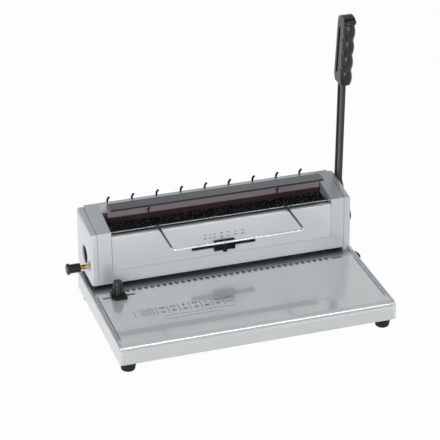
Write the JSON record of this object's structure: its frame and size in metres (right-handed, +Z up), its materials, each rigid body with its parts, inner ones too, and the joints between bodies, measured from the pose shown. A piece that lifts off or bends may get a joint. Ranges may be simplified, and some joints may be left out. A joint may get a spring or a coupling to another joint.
{
  "type": "wire binding machine",
  "caption": "Desk machine with a side lever that punches a row of holes in paper and closes wire binding loops, with edge guide, size slider and chip tray.",
  "frame": {"origin": "on the table, under the middle of the machine's overall box", "axes": "+X to the right seen from the front, +Y to the back, +Z up"},
  "size_m": [0.4494, 0.25, 0.4011],
  "materials": {
    "silver_paint": "satin, fine metallic flake",
    "deck_gloss": "high gloss lacquer",
    "black_plastic": "satin moulded",
    "black_paint": "semi gloss",
    "wrinkle_black": "coarse wrinkle",
    "jaw_grey": "satin dark grey",
    "smoked": "polished, smoked",
    "steel": "ground",
    "chrome": "polished",
    "brass": "turned",
    "rubber": "matt"
  },
  "bodies": {
    "frame": {"base_deck": "deck_gloss", "base_side_left": "silver_paint", "base_side_right": "silver_paint", "base_bottom": "steel", "rubber_feet": "rubber", "foot_screws": "steel", "tray_runners": "steel", "side_frame_left": "steel", "side_frame_right": "steel", "frame_screws": "steel", "tie_rod": "steel", "shaft_bushes": "brass", "housing_spacers": "silver_paint", "housing_shell": "silver_paint", "front_panel": "silver_paint", "end_cover_left": "silver_paint", "end_cover_right": "silver_paint", "rear_cover": "silver_paint", "cover_screws": "steel", "upper_jaw": "jaw_grey", "smoked_panel": "smoked", "jaw_screws": "steel", "wire_hook_rail": "silver_paint", "wire_hooks": "black_paint", "pin_guide_plate": "steel", "die_plate": "steel", "die_screws": "steel", "punch_springs": "steel", "jaw_guides": "brass", "hinge_rod": "chrome", "brass_collar": "brass", "gauge_rails": "steel"},
    "drive": {"drive_shaft": "steel", "shaft_cap": "black_plastic", "punch_pinions": "steel", "closing_pinions": "steel", "lever_hub": "black_paint", "lever_arm": "black_paint", "lever_grip": "black_plastic", "hub_cap": "black_plastic"},
    "punch": {"punch_bar": "steel", "punch_racks": "steel", "punch_pins": "steel"},
    "jaw": {"lower_jaw": "wrinkle_black", "jaw_carrier": "steel"},
    "support": {"paper_support": "chrome", "support_sleeves": "chrome"},
    "slider": {"size_slider": "black_plastic", "slider_keeper": "black_plastic"},
    "guide": {"edge_guide": "black_plastic", "guide_clamp": "steel"},
    "knob": {"guide_knob": "black_plastic"},
    "tray": {"chip_tray": "black_plastic", "tray_pull": "black_plastic"},
    "depth": {"depth_shaft": "steel", "depth_cams": "steel", "depth_knob": "black_plastic"},
    "gauge": {"back_gauge": "steel"}
  },
  "joints": [
    {"name": "lever_turn", "type": "hinge", "parent": "frame", "child": "drive", "pos_m": [-0.00038, 0.079, 0.085], "axis": [1, 0, 0], "range_deg": [0, 92], "stiffness_Nm_per_rad": 0.6, "springref_deg": -34.38},
    {"name": "punch_slide", "type": "slide", "parent": "frame", "child": "punch", "axis": [0, 0, -1], "range_m": [0, 0.01285], "deforming": ["punch_springs"]},
    {"name": "jaw_slide", "type": "slide", "parent": "frame", "child": "jaw", "axis": [0, 0, 1], "range_m": [0, 0.01606]},
    {"name": "support_swing", "type": "hinge", "parent": "frame", "child": "support", "pos_m": [-0.00038, 0.0613, 0.1232], "axis": [-1, 0, 0], "range_deg": [0, 92]},
    {"name": "size_slide", "type": "slide", "parent": "frame", "child": "slider", "axis": [1, 0, 0], "range_m": [-0.033, 0.033]},
    {"name": "guide_slide", "type": "slide", "parent": "frame", "child": "guide", "axis": [1, 0, 0], "range_m": [-0.018, 0.02]},
    {"name": "guide_knob_turn", "type": "hinge", "parent": "guide", "child": "knob", "pos_m": [-0.16475, 0.017, 0.055], "axis": [0, 0, 1], "range_deg": [0, 270]},
    {"name": "tray_slide", "type": "slide", "parent": "frame", "child": "tray", "axis": [1, 0, 0], "range_m": [0, 0.3]},
    {"name": "depth_turn", "type": "hinge", "parent": "frame", "child": "depth", "pos_m": [-0.00038, 0.082, 0.062], "axis": [1, 0, 0], "range_deg": [0, 180]},
    {"name": "gauge_slide", "type": "slide", "parent": "frame", "child": "gauge", "axis": [0, 1, 0], "range_m": [0, 0.00401]}
  ],
  "couplings": [
    {"joint": "punch_slide", "follows": "lever_turn", "m_per_rad": 0.008},
    {"joint": "jaw_slide", "follows": "lever_turn", "m_per_rad": 0.01},
    {"joint": "gauge_slide", "follows": "depth_turn", "m_per_rad": 0.0012732}
  ]
}
